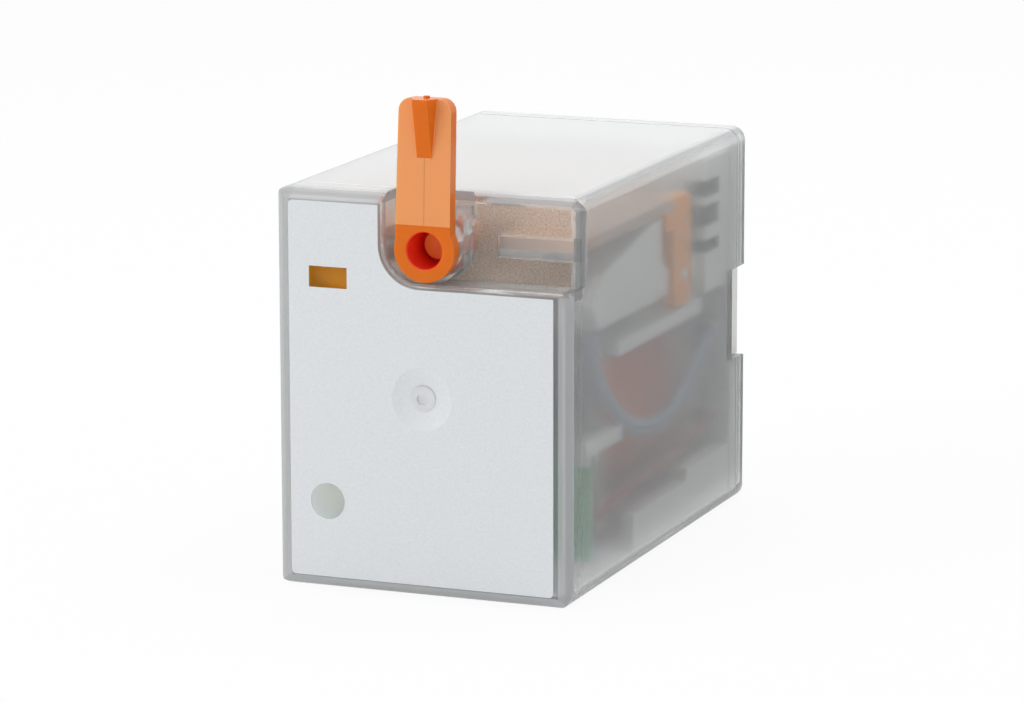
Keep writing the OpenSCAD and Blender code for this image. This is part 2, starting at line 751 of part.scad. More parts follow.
// Round wire along a route
module wire(p, r, count) {
    q = curve(p, route_steps);
    t = headings(q, p);
    s = sides(t, 0, cross(t[0], unit([1, 2, 3])), []);
    last = len(q) - 1;
    dots = [for (i = [0:last], k = [0:count - 1])
        q[i] + r * (cos(360 * k / count) * s[i] + sin(360 * k / count) * cross(t[i], s[i]))];
    skin = [for (i = [0:last - 1], k = [0:count - 1]) let (
        a = i * count + k,
        b = i * count + (k + 1) % count
    ) each [[a, a + count, b], [b, a + count, b + count]]];
    near = [for (k = [1:count - 2]) [0, k, k + 1]];
    far = [for (k = [1:count - 2]) [last * count, last * count + k + 1, last * count + k]];
    polyhedron(points = dots, faces = concat(skin, near, far));
}

// Moves a piece from the front face's frame to the part's frame
module front() {
    translate([0, -body_d / 2, 0]) children();
}

// The lever's recess, open at the top and on the right
module recess(grow, y0, y1) {
    along_y(y0, y1) {
        translate([recess_x, recess_mid]) circle(recess_r + grow);
        translate([recess_left - grow, recess_mid]) square([body_w, body_h]);
        translate([recess_x, recess_z - grow]) square([body_w, body_h]);
    }
}

// What rounding takes off an edge, drawn from the edge into the wall
module lip_outline() {
    difference() {
        translate([-join, -join]) square(lip_r + join);
        translate([lip_r, lip_r]) circle(lip_r);
    }
}

module recess_lip() {
    translate([recess_x, 0, recess_mid]) rotate([-90, 0, 0])
        rotate_extrude() translate([recess_r, 0]) lip_outline();
    along_x(recess_x, body_w) translate([0, recess_z]) rotate(-90) lip_outline();
    along_z(recess_mid, body_h + over) translate([recess_left, 0]) mirror([1, 0]) lip_outline();
}

// Collar that the lever's boss runs on, with the stop rib at its right side
module cover_collar() {
    rod_y(lever_t + collar_gap, pocket_back, pivot_x, pivot_z, collar_r);
    span([pivot_x + collar_r - stop_t, lever_t + collar_gap, pivot_z - stop_down],
        [pivot_x + collar_r, pocket_y + join, pivot_z + stop_up]);
}

// Outline of the pocket behind the lever
module pocket(grow) {
    soft_rect([recess_left - grow, recess_z - grow], [pocket_x + grow, body_h + over],
        recess_r + grow);
}

module cover_outside() {
    difference() {
        union() {
            difference() {
                soft_block([-body_w / 2, 0, 0], [body_w / 2, body_d, body_h], edge_r);
                recess(0, -over, recess_d + edge_r);
                recess_lip();
            }
            soft_block([recess_left - edge_r, recess_d, recess_z - edge_r],
                [body_w / 2, recess_d + 2 * edge_r, body_h], edge_r);
        }
        along_y(recess_d - over, pocket_y) pocket(-join);
    }
    cover_collar();
}

module cover_inside() {
    difference() {
        soft_block([-in_x, wall, wall], [in_x, body_d + over, in_top], inner_r);
        recess(wall, 0, floor_back);
        along_y(0, pocket_back) pocket(wall);
    }
}

module cover() {
    color([0.9, 0.92, 0.94, 0.35]) front() difference() {
        cover_outside();
        cover_inside();
        rod_y(0, pocket_back + over, pivot_x, pivot_z, hub_r + hub_fit);
        span([body_w / 2 - groove_l, recess_d - over, recess_mid - groove_h / 2],
            [body_w, recess_d + groove_d, recess_mid + groove_h / 2]);
        difference() {
            translate([gate_x, dish_d - dish_ball, gate_z]) sphere(dish_ball, $fn = 96);
            rod_y(nub_drop, dish_d + over, gate_x, gate_z, nub_r);
        }
        rod_y(-over, dish_d, gate_x, gate_z, nub_pit_r);
        both() span([in_x - over, body_d - notch_l, notch_z],
            [body_w, body_d + over, notch_z + notch_h]);
        along_y(body_d - seam_y - seam_w, body_d - seam_y) difference() {
            translate([-body_w, -body_h]) square([2 * body_w, 2 * body_h + body_h]);
            soft_rect([seam_d - body_w / 2, seam_d], [body_w / 2 - seam_d, body_h - seam_d],
                edge_r - seam_d);
        }
    }
}

module film_outline() {
    difference() {
        soft_rect([film_side - body_w / 2, film_end], [body_w / 2 - film_side, body_h - film_end],
            film_r);
        translate([recess_x, recess_mid]) circle(recess_r + lip_r);
        translate([recess_left - lip_r, recess_mid]) square([body_w, body_h]);
        translate([recess_x, recess_z - lip_r]) square([body_w, body_h]);
        translate([flag_win_x, flag_win_z]) square([flag_win_w, flag_win_h]);
        translate([light_x, light_z]) circle(light_win_r);
    }
}

module front_label() {
    ball = dish_ball - film_gap;
    color("gainsboro") front() difference() {
        union() {
            along_y(-film_t, 0) film_outline();
            intersection() {
                translate([gate_x, dish_d - dish_ball, gate_z]) sphere(ball, $fn = 96);
                rod_y(-film_t, dish_d, gate_x, gate_z, dish_r);
            }
        }
        translate([gate_x, dish_d - dish_ball, gate_z]) sphere(ball - film_t, $fn = 96);
        rod_y(-over, dish_d + over, gate_x, gate_z, nub_r + join);
    }
}

// Slot that a blade passes through in the flange
module blade_slot(x, z) {
    span([x - blade_w / 2 - blade_fit, flange_y - over, z - blade_t / 2 - blade_fit],
        [x + blade_w / 2 + blade_fit, body_d + over, z + blade_t / 2 + blade_fit]);
}

// Slot that a blade's arm passes through in the contact block
module arm_slot(x, z) {
    span([x - arm_w / 2 - blade_fit, flange_y - block_l - over, z - blade_t / 2 - blade_fit],
        [x + arm_w / 2 + blade_fit, flange_y, z + blade_t / 2 + blade_fit]);
}

module base_windows() {
    block_x = in_x - block_side;
    front_y = flange_y - block_l;
    both() span([block_x - window_x, front_y - over, nc_z - blade_t / 2 - blade_fit],
        [body_w, front_y + window_y, nc_z - blade_t / 2 - blade_fit + window_nc_h]);
    both() span([block_x - window_x, front_y - over, no_z - blade_t / 2 + blade_fit],
        [body_w, front_y + window_y, no_z - blade_t / 2 + blade_fit + window_no_h]);
    span([-body_w, front_y - over, no_z + window_mid_up],
        [body_w, front_y + window_y, no_z + window_mid_up + window_mid_h]);
}

module base_side() {
    arm_x = bridge_x - finger_t - side_arm_gap;
    latch_x = body_w / 2 - latch_in;
    latch_y = body_d - notch_l + latch_fit;
    span([arm_x - side_arm_t, fulcrum_y - side_arm_t, pivot_pin_z - side_arm_h / 2],
        [arm_x, flange_y - block_l + join, pivot_pin_z + side_arm_h / 2]);
    rod_x(arm_x - join, bridge_x + base_fit, fulcrum_y, pivot_pin_z, pivot_pin_r);
    along_z(notch_z + latch_fit, notch_z + notch_h - latch_fit) polygon([
        [in_x - flange_t, latch_y], [latch_x - latch_slope, latch_y],
        [latch_x, latch_y + latch_slope], [latch_x, body_d], [in_x - flange_t, body_d]]);
    span([rail_x - rail_t, flange_y - rail_l, wall + rail_gap],
        [rail_x, flange_y + join, wall + rail_gap + rail_h]);
    span([rail_x - rail_t, flange_y - rail_step_l, wall + rail_gap],
        [rail_x, flange_y + join, wall + rail_gap + rail_h + rail_step]);
    span([yoke_x + base_fit, flange_y - rail_l, wall + rail_gap],
        [rail_x - rail_t + join, flange_y + join, wall + rail_gap + foot_h]);
}

module base() {
    block_x = in_x - block_side;
    color("whitesmoke") front() difference() {
        union() {
            along_y(flange_y, body_d) soft_rect([base_fit - in_x, wall + base_fit],
                [in_x - base_fit, in_top - base_fit], inner_r);
            span([-block_x, flange_y - block_l, no_z - block_under],
                [block_x, flange_y + join, body_h - block_drop]);
            span([-cradle_x, yoke_back + press_gap, cradle_z],
                [cradle_x, flange_y + join, cradle_z + cradle_h]);
            both() base_side();
        }
        base_windows();
        for (x = pole_x) {
            blade_slot(x, nc_z);
            blade_slot(x, no_z);
            blade_slot(x, com_z);
            arm_slot(x, nc_z);
            arm_slot(x, no_z);
        }
        both() blade_slot(pole_x[3], coil_blade_z);
    }
}

// Wedge under the thumb, with slanted sides
module thumb_ridge(end) {
    half = ridge_w / 2;
    foot = half + ridge_draft;
    start = end - ridge_l;
    polyhedron(
        points = [[-half, join, start], [half, join, start], [-foot, join, end], [foot, join, end],
            [-half, -ridge_h, end], [half, -ridge_h, end]],
        faces = [[1, 3, 2, 0], [4, 5, 1, 0], [3, 5, 4, 2], [2, 4, 0], [5, 3, 1]]);
}

module lever_bar() {
    end = lever_l - bend_h;
    tip_left = bar_draft - bar_left;
    along_y(0, lever_t) {
        polygon([[-bar_left, 0], [bar_right, 0], [bar_right, end - tip_r],
            [tip_left, end - tip_r]]);
        translate([tip_left + tip_r, 0]) square([bar_right - tip_left - 2 * tip_r, end]);
        translate([tip_left + tip_r, end - tip_r]) circle(tip_r);
        translate([bar_right - tip_r, end - tip_r]) circle(tip_r);
    }
    thumb_ridge(end);
    rod_z(end - join, end + nib_l, 0, lever_t / 2 - nib_r, nib_r);
}

// Hub with its slanted cam end, high towards the lower left while the lever is up
module lever_hub() {
    reach = 2 * hub_r;
    difference() {
        rod_y(0, cam_y + cam_slope * reach, 0, 0, hub_r);
        translate([0, cam_y, 0]) rotate([0, -45, 0]) rotate([0, 0, -atan(cam_slope)])
            span([-reach, 0, -reach], [reach, reach, reach]);
    }
    rod_y(hub_back, hub_back + snap_l, 0, 0, snap_r);
}

module test_lever() {
    color("darkorange") front() translate([pivot_x, 0, pivot_z]) difference() {
        union() {
            rod_y(0, lever_t, 0, 0, boss_r);
            span([-bar_left, 0, 0], [bar_right, lever_t, bend_h]);
            translate([0, 0, bend_h]) rotate([-lean, 0, 0]) lever_bar();
            lever_hub();
        }
        rod_y(-over, hole_d, 0, 0, hole_r);
        rod_y(hole_d - join, cam_y + hub_r, 0, 0, pin_r + pin_fit);
        translate([0, hole_chamfer, 0]) rotate([90, 0, 0])
            cylinder(r1 = hole_r, r2 = hole_r + 2 * hole_chamfer, h = 2 * hole_chamfer);
    }
}

module test_plunger() {
    color("orangered") front() translate([pivot_x, 0, pivot_z]) {
        rod_y(pin_head_y - pin_head_l, pin_head_y, 0, 0, pin_head_r);
        rod_y(pin_head_y - join, pin_end, 0, 0, pin_r);
        rod_y(pin_end - barb_l, pin_end, 0, 0, barb_r);
    }
}

module bridge_side() {
    difference() {
        along_x(bridge_x - finger_t, bridge_x) {
            soft_rect([finger_y, finger_z], [finger_y + finger_w, plate_z + plate_t], finger_r);
            translate([finger_y - under_l, plate_z - under_h])
                square([under_l + finger_w / 2, under_h + plate_t]);
        }
        rod_x(bridge_x - finger_t - over, bridge_x + over, fulcrum_y, pivot_pin_z,
            pivot_pin_r + pivot_fit);
    }
}

module flag_indicator() {
    color("orange") front() {
        both() bridge_side();
        along_z(plate_z, plate_z + plate_t) polygon([[-bridge_x, flag_y], [cut_left, flag_y],
            [cut_left, cut_y], [cut_right, cut_y], [cut_right, strip_y], [bridge_x, strip_y],
            [bridge_x, plate_rear], [-bridge_x, plate_rear]]);
        span([flag_side - bridge_x, flag_y, flag_z], [cut_left, flag_y + flag_t, plate_z + join]);
    }
}

module armature() {
    color("silver") front() along_y(armature_y, armature_back) difference() {
        soft_rect([-armature_x, armature_z], [armature_x, armature_top], armature_r);
        both() translate([yoke_x - ear_w - ear_fit, armature_z - over])
            square([ear_w + ear_fit, ear_cut_h + over]);
    }
}

module carrier_cheek() {
    long = carrier_back - carrier_y;
    high = carrier_top - carrier_z;
    along_x(cheek_in, cheek_x) polygon([
        for (s = cheek_front_shares) [carrier_y + s[0] * long, carrier_z + s[1] * high],
        [follow_y - cheek_front, carrier_top], [follow_y + cheek_rear, carrier_top],
        [follow_y + cheek_rear, carrier_z + cheek_step_share * high],
        for (s = cheek_rear_shares) [carrier_y + s[0] * long, carrier_z + s[1] * high]]);
    rod_x(cheek_in, cheek_x, follow_y, plate_z - follow_gap - ridge_foot / 2, ridge_foot / 2);
}

module carrier_tongue() {
    left = pivot_x - tongue_w / 2;
    span([left, tongue_y, carrier_z], [left + tongue_w, tongue_y + tongue_t, pivot_z + tongue_up]);
    rod_y(nose_y, tongue_y + join, pivot_x, nose_z, nose_r);
    translate([pivot_x, nose_y, nose_z]) sphere(nose_r);
}

module contact_carrier() {
    bar_z = spring_z + spring_t + spring_gap;
    color("white") front() {
        both() carrier_cheek();
        span([-cheek_in - join, skirt_y, carrier_z],
            [cheek_in + join, carrier_back, spring_z - spring_gap]);
        span([-skirt_x, skirt_y, skirt_z], [skirt_x, skirt_y + skirt_t, carrier_z + join]);
        both() rod_y(skirt_y - rivet_h, skirt_y + join, rivet_x, (skirt_z + carrier_z) / 2, rivet_r);
        carrier_tongue();
        for (x = [-pole_pitch, 0, pole_pitch]) {
            span([x - rib_w / 2, spring_y, spring_z - spring_gap - join],
                [x + rib_w / 2, carrier_back, spring_z + spring_t + rib_h]);
        }
        span([-cheek_in - join, carrier_y + bar_set, bar_z],
            [cheek_in + join, carrier_y + bar_set + bar_l, bar_z + bar_t]);
    }
}

module contact_spring(i) {
    x = pole_x[i];
    color("darkgoldenrod") front() difference() {
        span([x - spring_w / 2, spring_y, spring_z],
            [x + spring_w / 2, moving_y + spring_end, spring_z + spring_t]);
        rod_z(spring_z - over, spring_z + over, x, moving_y, shank_r + spring_gap);
    }
}

module contact_spring_1() { contact_spring(0); }
module contact_spring_2() { contact_spring(1); }
module contact_spring_3() { contact_spring(2); }
module contact_spring_4() { contact_spring(3); }

module moving_contacts() {
    color("silver") front() for (x = pole_x) {
        rod_z(spring_z - head_h, spring_z, x, moving_y, head_r);
        rod_z(spring_z - join, spring_z + spring_t + join, x, moving_y, shank_r);
        rod_z(spring_z + spring_t, spring_z + spring_t + head_h, x, moving_y, head_r);
    }
}

module nc_contacts() {
    color("silver") front() for (x = pole_x) {
        rod_z(nc_under, nc_z - blade_t / 2, x, fixed_y, head_r);
    }
}

module no_contacts() {
    color("silver") front() for (x = pole_x) {
        rod_z(no_z + blade_t / 2, no_z + blade_t / 2 + no_head_h, x, moving_y, head_r);
    }
}

// Plug blade with its inner arm
module terminal(x, z, y) {
    half = blade_w / 2;
    tip = body_d + blade_l;
    eye = (eye_l - eye_w) / 2;
    color("lightgray") front() along_z(z - blade_t / 2, z + blade_t / 2) translate([x, 0])
        difference() {
            union() {
                polygon([[-half, flange_y], [half, flange_y], [half, tip - blade_tip],
                    [half - blade_tip, tip], [blade_tip - half, tip], [-half, tip - blade_tip]]);
                translate([-arm_w / 2, y]) square([arm_w, flange_y - y + join]);
            }
            translate([0, body_d + eye_y - eye]) circle(eye_w / 2);
            translate([0, body_d + eye_y + eye]) circle(eye_w / 2);
            translate([-eye_w / 2, body_d + eye_y - eye]) square([eye_w, 2 * eye]);
        }
}

module nc_terminal_1() { terminal(pole_x[0], nc_z, fixed_y - arm_end); }
module nc_terminal_2() { terminal(pole_x[1], nc_z, fixed_y - arm_end); }
module nc_terminal_3() { terminal(pole_x[2], nc_z, fixed_y - arm_end); }
module nc_terminal_4() { terminal(pole_x[3], nc_z, fixed_y - arm_end); }
module no_terminal_1() { terminal(pole_x[0], no_z, moving_y - arm_end); }
module no_terminal_2() { terminal(pole_x[1], no_z, moving_y - arm_end); }
module no_terminal_3() { terminal(pole_x[2], no_z, moving_y - arm_end); }
module no_terminal_4() { terminal(pole_x[3], no_z, moving_y - arm_end); }
module common_terminal_1() { terminal(pole_x[0], com_z, flange_y - tail_l); }
module common_terminal_2() { terminal(pole_x[1], com_z, flange_y - tail_l); }
module common_terminal_3() { terminal(pole_x[2], com_z, flange_y - tail_l); }
module common_terminal_4() { terminal(pole_x[3], com_z, flange_y - tail_l); }
module coil_terminal_1() { terminal(pole_x[0], coil_blade_z, flange_y - tail_l); }
module coil_terminal_2() { terminal(pole_x[3], coil_blade_z, flange_y - tail_l); }

module board_holder() {
    span([holder_x, board_y - holder_l, holder_z],
        [barrier_x, bobbin_y + bobbin_flange_t, holder_z + holder_h]);
    span([bobbin_x - join, bobbin_y, holder_z],
        [holder_x + join, bobbin_y + bobbin_flange_t, holder_z + holder_h]);
    span([holder_x, board_y - hook_gap - hook_l, holder_z - hook_l],
        [barrier_x, board_y - hook_gap, holder_z + join]);
    span([holder_x, board_y + board_t + hook_gap, holder_z - hook_l],
        [barrier_x, board_y + board_t + hook_gap + hook_l, holder_z + join]);
}

module coil_bobbin() {
    color("ivory") front() difference() {
        union() {
            rod_y(bobbin_y, bobbin_back, 0, coil_z, tube_r);
            for (y = [bobbin_y, bobbin_back - bobbin_flange_t]) {
                along_y(y, y + bobbin_flange_t) soft_rect([-bobbin_x, bobbin_z],
                    [bobbin_x, bobbin_top + join], inner_r);
            }
            span([-barrier_x, bobbin_y, bobbin_top],
                [barrier_x, bobbin_back - barrier_short, bobbin_top + barrier_t]);
            both() board_holder();
        }
        rod_y(bobbin_y - over, bobbin_back + over, 0, coil_z, core_r + press_gap);
    }
}

module coil_winding() {
    color("brown") front() difference() {
        rod_y(bobbin_y + bobbin_flange_t + join, bobbin_back - bobbin_flange_t - join, 0, coil_z,
            winding_r);
        rod_y(bobbin_y, bobbin_back, 0, coil_z, tube_r + join);
    }
}

module core() {
    color("gray") front() {
        rod_y(pole_y, pole_y + pole_t, 0, coil_z, pole_r);
        rod_y(pole_y, yoke_front, 0, coil_z, core_r);
        rod_y(pole_y, yoke_back, 0, coil_z, spigot_r);
    }
}

module yoke() {
    low = hinge_y + yoke_gap;
    color("lightslategray") front() difference() {
        union() {
            along_x(-yoke_x, yoke_x) {
                translate([low, yoke_z]) square([yoke_back - yoke_t - low, yoke_t]);
                translate([yoke_front, yoke_z + yoke_t]) square([yoke_t, yoke_top - yoke_z - yoke_t]);
                intersection() {
                    translate([yoke_front, yoke_z + yoke_t]) circle(yoke_t);
                    translate([yoke_front, yoke_z]) square(yoke_t);
                }
            }
            both() span([yoke_x - ear_w, low - ear_l, yoke_z],
                [yoke_x, low + join, yoke_z + yoke_t]);
        }
        rod_y(yoke_front - over, yoke_back + over, 0, coil_z, spigot_r + press_gap);
    }
}

module return_spring() {
    face = armature_y - clip_gap;
    low = wall + press_gap;
    color("silver") front() {
        span([-clip_x, face - clip_t, low], [clip_x, face, low + clip_h]);
        span([-clip_x, face - clip_t, low],
            [clip_x, hinge_y + yoke_gap + clip_l, low + clip_t]);
    }
}

module circuit_board() {
    color("seagreen") front() {
        span([-board_x, board_y, board_z], [board_x, board_y + board_t, board_z + board_h]);
        both() translate([board_x - solder_set, board_y, solder_z]) sphere(solder_r);
    }
}

module led() {
    color("honeydew") front() {
        rod_y(board_y - led_l + led_r, board_y, light_x, light_z, led_r);
        translate([light_x, board_y - led_l + led_r, light_z]) sphere(led_r);
        rod_y(board_y - led_collar_t, board_y, light_x, light_z, led_collar_r);
    }
}

module resistor() {
    y = board_y - resistor_r - join;
    color("tan") front() {
        rod_x(resistor_x - resistor_l / 2, resistor_x + resistor_l / 2, y, resistor_z, resistor_r);
        rod_x(resistor_x - resistor_span / 2, resistor_x + resistor_span / 2, y, resistor_z,
            resistor_wire_r);
        for (x = [resistor_x - resistor_span / 2, resistor_x + resistor_span / 2]) {
            rod_y(y, board_y, x, resistor_z, resistor_wire_r);
            translate([x, y, resistor_z]) sphere(resistor_wire_r);
        }
    }
}

module coil_lead_1() { color("firebrick") front() mirror([1, 0, 0]) wire(coil_lead, lead_r, 8); }
module coil_lead_2() { color("firebrick") front() wire(coil_lead, lead_r, 8); }
module pigtail_1() {
    color("slategray") front() mirror([1, 0, 0]) wire(pigtail_outer, pigtail_r, 8);
}
module pigtail_2() {
    color("slategray") front() mirror([1, 0, 0]) wire(pigtail_inner, pigtail_r, 8);
}
module pigtail_3() { color("slategray") front() wire(pigtail_inner, pigtail_r, 8); }
module pigtail_4() { color("slategray") front() wire(pigtail_outer, pigtail_r, 8); }

cover();
front_label();
base();
test_lever();
test_plunger();
flag_indicator();
armature();
contact_carrier();
contact_spring_1();
contact_spring_2();
contact_spring_3();
contact_spring_4();
moving_contacts();
nc_contacts();
no_contacts();
nc_terminal_1();
nc_terminal_2();
nc_terminal_3();
nc_terminal_4();
no_terminal_1();
no_terminal_2();
no_terminal_3();
no_terminal_4();
common_terminal_1();
common_terminal_2();
common_terminal_3();
common_terminal_4();
coil_terminal_1();
coil_terminal_2();
coil_bobbin();
coil_winding();
core();
yoke();
return_spring();
circuit_board();
led();
resistor();
coil_lead_1();
coil_lead_2();
pigtail_1();
pigtail_2();
pigtail_3();
pigtail_4();
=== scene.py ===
import math
import bmesh
import bpy
from mathutils import Matrix, Vector


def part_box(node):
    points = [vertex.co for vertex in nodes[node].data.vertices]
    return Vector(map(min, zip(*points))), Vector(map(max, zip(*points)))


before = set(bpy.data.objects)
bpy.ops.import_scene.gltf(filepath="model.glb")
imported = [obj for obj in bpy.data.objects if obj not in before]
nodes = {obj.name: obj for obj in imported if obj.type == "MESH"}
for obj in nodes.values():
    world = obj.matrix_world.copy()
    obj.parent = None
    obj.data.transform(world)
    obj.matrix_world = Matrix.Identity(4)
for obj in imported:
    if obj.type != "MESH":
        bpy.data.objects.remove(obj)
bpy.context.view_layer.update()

scene = bpy.context.scene
scene.view_settings.view_transform = "Standard"

# Camera
# A long lens at the front right, a little above the relay, so that its front, its top and its
# right side show with little perspective.
camera_place = (0.1196, -0.3025, 0.0806)
view_right = Vector((0.92958, 0.36861, -0.00186))
view_up = Vector((-0.07272, 0.18835, 0.97941))
view_back = Vector((0.36137, -0.91030, 0.20190))

camera_data = bpy.data.cameras.new("camera")
camera_data.sensor_width = 36.0
camera_data.lens = 166.26
camera = bpy.data.objects.new("camera", camera_data)
scene.collection.objects.link(camera)
bpy.context.scene.camera = camera
camera_turn = Matrix((view_right, view_up, view_back)).transposed().to_4x4()
camera.matrix_world = Matrix.Translation(camera_place) @ camera_turn

# Floor and studio light
# A white table in a white room, lit from a large soft box above, a second one at the left front
# and a weak one at the right, which gives pale grey faces with soft edges.
# The floor reaches the horizon, and lies just clear of the relay's underside.
floor_half = 12.0
floor_drop = 0.00002
paper_glow = 0.9
room_light, room_white = 0.5, 1.0
soft_box_aim = Vector((0, 0, 0.015))
soft_boxes = (("top_box", (0.02, 0.10, 0.42), (0.45, 0.45), 1.1),
              ("left_box", (-0.32, -0.30, 0.20), (0.30, 0.30), 0.75),
              ("right_box", (0.42, -0.05, 0.14), (0.20, 0.30), 0.1))


def linear(colour):
    parts = [int(colour[i:i + 2], 16) / 255 for i in (1, 3, 5)]
    return [p / 12.92 if p <= 0.04045 else ((p + 0.055) / 1.055) ** 2.4 for p in parts] + [1.0]


def add(tree, kind, values=None, links=None, **settings):
    node = tree.nodes.new(kind)
    for name, value in settings.items():
        setattr(node, name, value)
    for socket, value in (values or {}).items():
        node.inputs[socket].default_value = value
    for socket, source in (links or {}).items():
        tree.links.new(source, node.inputs[socket])
    return node


def start_material(name):
    material = bpy.data.materials.new(name)
    material.use_nodes = True
    material.node_tree.nodes.clear()
    return material, material.node_tree


# What the camera sees, also by way of glossy and clear faces, but not what lights a dull face
def first_sight(tree):
    path = add(tree, "ShaderNodeLightPath")
    seen = path.outputs["Is Camera Ray"]
    for ray in ("Is Glossy Ray", "Is Transmission Ray"):
        seen = add(tree, "ShaderNodeMath", links={0: seen, 1: path.outputs[ray]},
                   operation="MAXIMUM").outputs[0]
    undimmed = add(tree, "ShaderNodeMath", {1: 0.5}, {0: path.outputs["Diffuse Depth"]},
                   operation="LESS_THAN")
    return add(tree, "ShaderNodeMath", links={0: seen, 1: undimmed.outputs[0]},
               operation="MULTIPLY").outputs[0]


floor_mesh = bpy.data.meshes.new("floor")
bm = bmesh.new()
bmesh.ops.create_grid(bm, x_segments=1, y_segments=1, size=floor_half)
bmesh.ops.translate(bm, verts=bm.verts, vec=(0, 0, -floor_drop))
bm.to_mesh(floor_mesh)
bm.free()
floor = bpy.data.objects.new("floor", floor_mesh)
scene.collection.objects.link(floor)

# Matt white paper. What the camera sees of it is nearly as bright as the page round the relay,
# and the rest takes the relay's soft shadow.
paper, tree = start_material("white_paper_floor")
share = add(tree, "ShaderNodeMath", {1: paper_glow}, {0: first_sight(tree)}, operation="MULTIPLY")
matt = add(tree, "ShaderNodeBsdfDiffuse", {"Color": linear("#F4F4F4")})
glow = add(tree, "ShaderNodeEmission", {"Color": linear("#FFFFFF"), "Strength": room_white})
paper_mix = add(tree, "ShaderNodeMixShader", links={0: share.outputs[0], 1: matt.outputs[0],
                                                    2: glow.outputs[0]})
add(tree, "ShaderNodeOutputMaterial", links={"Surface": paper_mix.outputs[0]})
floor_mesh.materials.append(paper)

world = bpy.data.worlds.new("studio")
world.use_nodes = True
scene.world = world
tree = world.node_tree
tree.nodes.clear()
room = add(tree, "ShaderNodeBackground", {"Color": linear("#FFFFFF"), "Strength": room_light})
white = add(tree, "ShaderNodeBackground", {"Color": linear("#FFFFFF"), "Strength": room_white})
room_mix = add(tree, "ShaderNodeMixShader", links={0: first_sight(tree), 1: room.outputs[0],
                                                   2: white.outputs[0]})
add(tree, "ShaderNodeOutputWorld", links={"Surface": room_mix.outputs[0]})

for name, place, size, power in soft_boxes:
    lamp = bpy.data.lights.new(name, "AREA")
    lamp.shape = "RECTANGLE"
    lamp.size, lamp.size_y = size
    lamp.energy = power
    box = bpy.data.objects.new(name, lamp)
    scene.collection.objects.link(box)
    box.location = place
    box.rotation_euler = (soft_box_aim - Vector(place)).to_track_quat("-Z", "Y").to_euler()

# Grey cards
# Two grey cards, as a photographer lays beside glossy plastic, flat on the table at the right and
# in front of the relay. Only reflections see them, so they light nothing and cast nothing.
card_lift = 0.00002
card_places = ((0.16, (0.1735, 0.06, card_lift)), (0.1, (-0.05, -0.13, card_lift)))
card_grey = 0.2

card_mesh = bpy.data.meshes.new("grey_cards")
bm = bmesh.new()
for half, place in card_places:
    made = bmesh.ops.create_grid(bm, x_segments=1, y_segments=1, size=half)["verts"]
    bmesh.ops.translate(bm, verts=made, vec=place)
bm.to_mesh(card_mesh)
bm.free()
cards = bpy.data.objects.new("grey_cards", card_mesh)
scene.collection.objects.link(cards)
cards.visible_camera = cards.visible_diffuse = cards.visible_transmission = False
cards.visible_shadow = False

# Dark grey card, which reads as an even grey sheen on the plastic.
grey_card, tree = start_material("grey_card")
tint = add(tree, "ShaderNodeEmission", {"Color": linear("#FFFFFF"), "Strength": card_grey})
add(tree, "ShaderNodeOutputMaterial", links={"Surface": tint.outputs[0]})
card_mesh.materials.append(grey_card)

# Cover
# Injection-moulded polycarbonate, one shell with a stepped front, snapped over the base. Its
# flats carry a fine spark-eroded grain that blurs what lies behind; edges and recess are polished.
cover_low, cover_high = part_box("cover")
side_x, front_y, top_z, underside = cover_high[0], cover_low[1], cover_high[2], cover_low[2]
# How near to a flat a point counts as on it, how far the grain goes round the edges of the
# sides and the top, and how far behind the front it starts
on_face = 0.00003
side_skin, top_skin = 0.00025, 0.0001
front_edge = 0.001
# The wall is 0.8 mm thick, so its inner faces lie deeper than this.
wall = 0.00075
recess_floor = front_y + 0.0024
recess_back = recess_floor + 0.0016
recess_left, recess_low = -0.0029, 0.0212
# The front wall's depth, and what the flag's window, the light's window, the gate's nub and the
# strip left of the film take up on it
front_skin = front_y + 0.0009
flag_left, flag_right, flag_low, flag_high = -0.0085, -0.005, 0.0204, 0.0226
light_middle, light_reach = (-0.0068, front_y, 0.00612), 0.0014
gate_middle, gate_reach = (0.00012, front_y, 0.01366), 0.001
strip_right = -0.0095
# The grain's grit is about 0.03 mm across. It is drawn coarser, so that it shows.
grit_mm = 0.154
grit_deep = 0.00003


def per_metre(size_mm):
    return 1000 / size_mm


def coat(name, material):
    mesh = nodes[name].data
    mesh.materials.clear()
    mesh.materials.append(material)


# Clear polycarbonate: glassy where the mould is polished, milky where the grain or an
# edge scatters the light, and speckled beige on the recess floor. On the front flat, the edges and
# the strip left of the film the milky share is painted grey, a painted shade.
cover_pc, tree = start_material("frosted_polycarbonate")
point = add(tree, "ShaderNodeTexCoord").outputs["Object"]
x, y, z = add(tree, "ShaderNodeSeparateXYZ", links={0: point}).outputs
across = add(tree, "ShaderNodeMath", links={0: x}, operation="ABSOLUTE").outputs[0]
behind = add(tree, "ShaderNodeMath", {1: front_y + front_edge}, {0: y}, operation="GREATER_THAN")
beside = add(tree, "ShaderNodeMath", links={0: across, 1: behind.outputs[0]},
             operation="MULTIPLY").outputs[0]
from_gate = add(tree, "ShaderNodeVectorMath", {1: gate_middle}, {0: point},
                operation="DISTANCE").outputs["Value"]
from_light = add(tree, "ShaderNodeVectorMath", {1: light_middle}, {0: point},
                 operation="DISTANCE").outputs["Value"]
